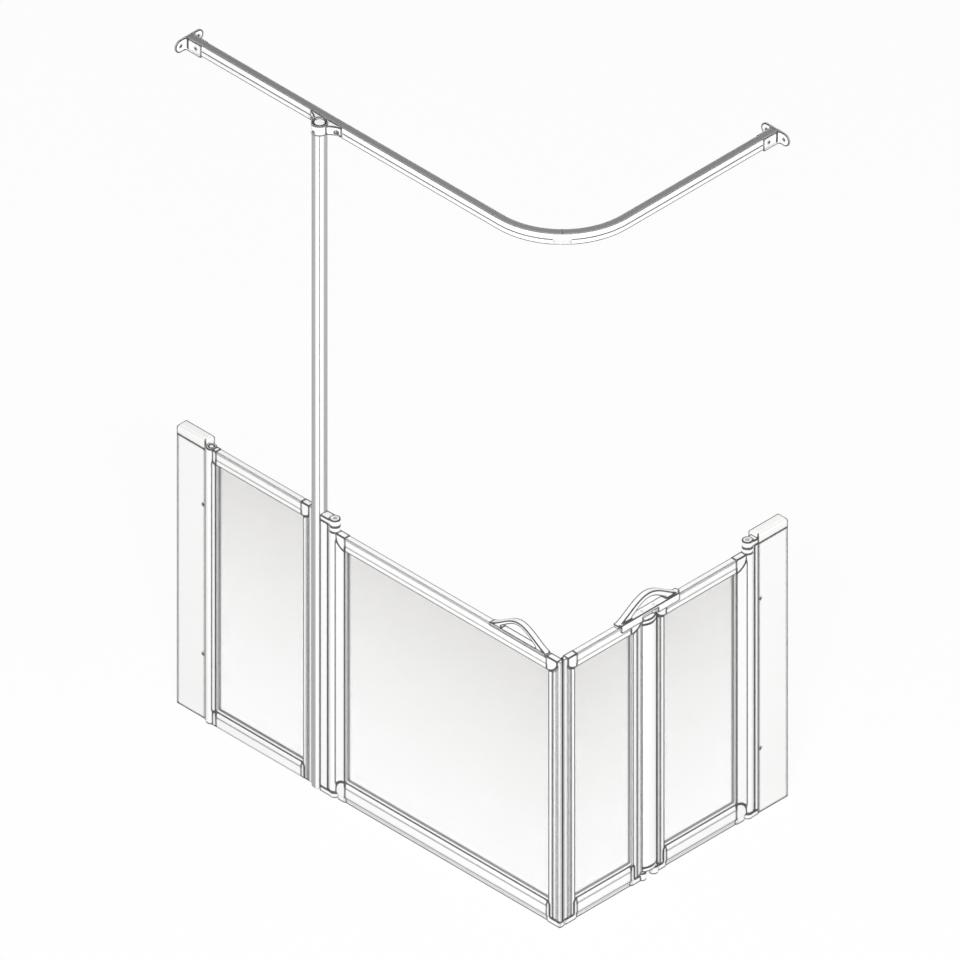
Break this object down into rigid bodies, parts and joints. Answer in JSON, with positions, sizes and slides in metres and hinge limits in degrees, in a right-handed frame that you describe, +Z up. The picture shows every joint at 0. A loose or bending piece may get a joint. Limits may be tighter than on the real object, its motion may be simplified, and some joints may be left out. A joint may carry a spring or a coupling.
{
  "type": "half-height shower screen",
  "caption": "Half-height corner shower screen with a fixed panel, a single swing door and a folding door, support pole and L-shaped curtain rail for wall mounting.",
  "frame": {"origin": "middle of the bounding box's underside, on the floor", "axes": "+X along the long run from the left wall to the outer corner, +Y along the short run from the outer corner to the right wall, +Z up"},
  "size_m": [1.254, 0.7448, 1.863],
  "materials": {
    "white_profile": "satin",
    "white_moulding": "satin",
    "white_handle": "gloss",
    "glazing": "gloss",
    "seal_grey": "matte",
    "dark_plastic": "matte",
    "washer_grey": "matte",
    "steel": "satin"
  },
  "bodies": {
    "fixed_frame": {"left_wall_post": "white_profile", "right_wall_post": "white_profile", "wall_post_caps": "white_moulding", "wall_post_screws": "steel", "panel_wall_stile": "white_profile", "panel_pole_stile": "white_profile", "panel_top_rail": "white_profile", "panel_bottom_rail": "white_profile", "panel_corners": "white_moulding", "panel_glazing": "glazing", "panel_gasket": "seal_grey", "panel_side_channels": "seal_grey", "support_pole": "white_profile", "pole_top_plug": "dark_plastic", "pole_foot": "dark_plastic", "pole_rail_clamp": "white_moulding", "rail_screws": "steel", "middle_hinge_post": "white_profile", "middle_hinge_arms": "white_moulding", "right_hinge_post": "white_profile", "right_hinge_arms": "white_moulding", "hinge_washers": "washer_grey", "curtain_rail_long": "white_profile", "curtain_rail_short": "white_profile", "rail_joiner": "white_moulding", "rail_wall_brackets": "white_moulding"},
    "single_door": {"door_top_rail": "white_profile", "door_bottom_rail": "white_profile", "door_hinge_stile": "white_profile", "door_closing_stile": "white_profile", "door_corners": "white_moulding", "door_glazing": "glazing", "door_gasket": "seal_grey", "door_floor_seal": "seal_grey", "door_magnetic_seal": "seal_grey", "door_handle": "white_handle", "door_pivot_pins": "steel"},
    "wall_leaf": {"wall_leaf_top_rail": "white_profile", "wall_leaf_bottom_rail": "white_profile", "wall_leaf_hinge_stile": "white_profile", "wall_leaf_fold_stile": "white_profile", "wall_leaf_corners": "white_moulding", "wall_leaf_glazing": "glazing", "wall_leaf_gasket": "seal_grey", "wall_leaf_floor_seal": "seal_grey", "wall_leaf_pivot_pins": "steel"},
    "fold_link": {"fold_post": "white_profile", "fold_post_caps": "white_moulding", "fold_pins": "steel", "fold_handle": "white_handle"},
    "corner_leaf": {"corner_leaf_top_rail": "white_profile", "corner_leaf_bottom_rail": "white_profile", "corner_leaf_closing_stile": "white_profile", "corner_leaf_fold_stile": "white_profile", "corner_leaf_corners": "white_moulding", "corner_leaf_glazing": "glazing", "corner_leaf_gasket": "seal_grey", "corner_leaf_floor_seal": "seal_grey", "corner_leaf_magnetic_seal": "seal_grey"}
  },
  "joints": [
    {"name": "single_door_swing", "type": "hinge", "parent": "fixed_frame", "child": "single_door", "pos_m": [-0.1155, -0.35555, 0], "axis": [0, 0, -1], "range_deg": [0, 90]},
    {"name": "wall_leaf_swing", "type": "hinge", "parent": "fixed_frame", "child": "wall_leaf", "pos_m": [0.61, 0.25145, 0], "axis": [0, 0, 1], "range_deg": [0, 90]},
    {"name": "fold_link_swing", "type": "hinge", "parent": "wall_leaf", "child": "fold_link", "pos_m": [0.6135, -0.05555, 0], "axis": [0, 0, -1], "range_deg": [0, 90]},
    {"name": "corner_leaf_fold", "type": "hinge", "parent": "fold_link", "child": "corner_leaf", "pos_m": [0.6135, -0.09355, 0], "axis": [0, 0, -1], "range_deg": [0, 90]}
  ]
}
